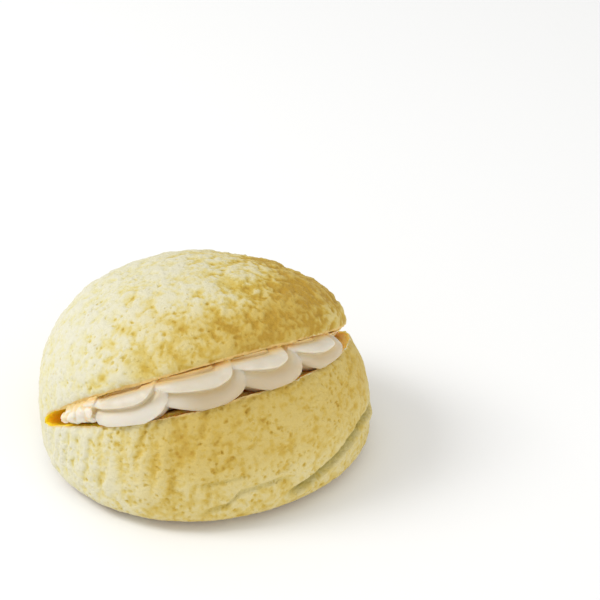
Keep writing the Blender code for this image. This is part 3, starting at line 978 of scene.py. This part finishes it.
def cream_material():
    nodes = Nodes("whipped_cream")
    place = nodes.add("ShaderNodeTexCoord").outputs["Object"]
    furrow = nodes.attribute("furrow")
    streaks = nodes.noise(place, 260.0, 4.0)
    ridge = nodes.ramp(streaks, (0.25, (0.62, 0.565, 0.45)), (0.75, (0.69, 0.64, 0.54)))
    # painted shade: lobes darker tan away from their ridges and into the furrows, the ridges left lightest
    colour = nodes.mix(nodes.scaled(furrow, 0.0, 0.3, 0.0, 0.8), ridge, (0.54, 0.46, 0.32))
    # painted shade on the lower lobes
    colour = nodes.mix(nodes.scaled(nodes.attribute("lower_painted_shade"), 0.0, 1.0, 0.0, 0.7), colour, (0.54, 0.42, 0.25))
    # painted light on the first shell's lower lobe, and the torn lump's paler tone
    paler_and_painted_light = nodes.scaled(nodes.attribute("paler_and_painted_light"), 0.0, 1.0, 0.0, 0.85)
    colour = nodes.mix(paler_and_painted_light, colour, (0.74, 0.70, 0.61))
    # painted warm bounce light: the deepest furrows turn orange
    colour = nodes.mix(nodes.scaled(furrow, 0.4, 1.0, 0.0, 0.6), colour, (0.74, 0.55, 0.24))
    # painted shade under the lid's lip, in the orange of the shaded crumb there
    lid_painted_shade = nodes.scaled(nodes.attribute("lid_painted_shade"), 0.62, 0.9, 0.0, 0.9)
    colour = nodes.mix(lid_painted_shade, colour, (0.76, 0.52, 0.19))
    # crumbs in the torn lump's hollows
    colour = nodes.mix(nodes.scaled(nodes.attribute("torn"), 0.62, 1.0, 0.0, 0.6), colour, (0.82, 0.60, 0.20))
    nodes.set(nodes.shader, "Base Color", colour)
    nodes.set(nodes.shader, "Roughness", nodes.scaled(nodes.noise(place, 900.0, 3.0), 0.3, 0.7, 0.38, 0.5))
    nodes.set(nodes.shader, "Subsurface Weight", 1.0)
    nodes.set(nodes.shader, "Subsurface Scale", 0.0018)
    nodes.set(nodes.shader, "Subsurface Radius", (1.0, 0.75, 0.5))
    nodes.bump(nodes.noise(place, 1100.0, 4.0), 0.00012, 0.6)
    return nodes.material


# ---------------------------------------------------------------- stage

VIEW_AZIMUTH = radians(-25.7)
VIEW_ELEVATION = radians(32.75)
VIEW_DISTANCE = 0.636
VIEW_LENS = 120.07
VIEW_MIDDLE = Vector((-0.4 * MM, -1.3 * MM, 29.2 * MM))
AIM_RIGHT = 30.99 * MM       # from there to the point that the camera looks at
AIM_UP = 17.86 * MM


def make_camera():
    back = Vector((sin(VIEW_AZIMUTH) * cos(VIEW_ELEVATION),
                   -cos(VIEW_AZIMUTH) * cos(VIEW_ELEVATION), sin(VIEW_ELEVATION)))
    right = Vector((cos(VIEW_AZIMUTH), sin(VIEW_AZIMUTH), 0.0))
    upward = back.cross(right)
    camera = bpy.data.objects.new("camera", bpy.data.cameras.new("camera"))
    camera.data.lens = VIEW_LENS
    camera.location = VIEW_MIDDLE + back * VIEW_DISTANCE
    sight = camera.location - (VIEW_MIDDLE + right * AIM_RIGHT + upward * AIM_UP)
    level = Matrix((right, upward, back)).transposed().to_quaternion()
    camera.rotation_euler = (back.rotation_difference(sight) @ level).to_euler()
    bpy.context.scene.collection.objects.link(camera)
    bpy.context.scene.camera = camera


def add_light(name, location, size, watts, colour=(1.0, 1.0, 1.0)):
    light = bpy.data.lights.new(name, "AREA")
    light.size = size
    light.energy = watts
    light.color = colour
    obj = bpy.data.objects.new(name, light)
    obj.location = location
    obj.rotation_euler = (-Vector(location)).to_track_quat("-Z", "Y").to_euler()
    bpy.context.scene.collection.objects.link(obj)


def make_stage():
    floor = mesh_object("floor", [(-3, -3, 0), (3, -3, 0), (3, 3, 0), (-3, 3, 0)], [(0, 1, 2, 3)])
    nodes = Nodes("studio_floor")
    nodes.set(nodes.shader, "Base Color", (0.92, 0.92, 0.91, 1.0))
    nodes.set(nodes.shader, "Roughness", 0.9)
    floor.data.materials.append(nodes.material)
    world = bpy.data.worlds.new("studio")
    world.use_nodes = True
    world.node_tree.nodes["Background"].inputs["Color"].default_value = (1.0, 1.0, 1.0, 1.0)
    world.node_tree.nodes["Background"].inputs["Strength"].default_value = 0.75
    bpy.context.scene.world = world
    add_light("key", (-0.75, 0.35, 0.85), 0.5, 7.0)
    add_light("fill", (0.40, -1.1, 0.25), 0.7, 3.9)
    bpy.context.scene.view_settings.view_transform = "Standard"


def main():
    bread = make_bread(crust_material(), crumb_material())
    cream = make_cream(cream_material())
    smooth_loaf = loaf_points(skin_directions(SKIN_CELLS)[0])
    middle = (smooth_loaf.min(axis=0) + smooth_loaf.max(axis=0)) / 2
    to_origin = Matrix.Translation((-middle[0], -middle[1], -UNDERSIDE_CUT))
    for piece, node, slot in ((bread, "bun", "crust"), (cream, "cream", "cream")):
        piece.data.transform(to_origin)
        piece.data.shade_smooth()
        piece.data.set_sharp_from_angle(angle=radians(50))
        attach(piece, "root")
        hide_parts(node)
    make_stage()
    make_camera()


main()
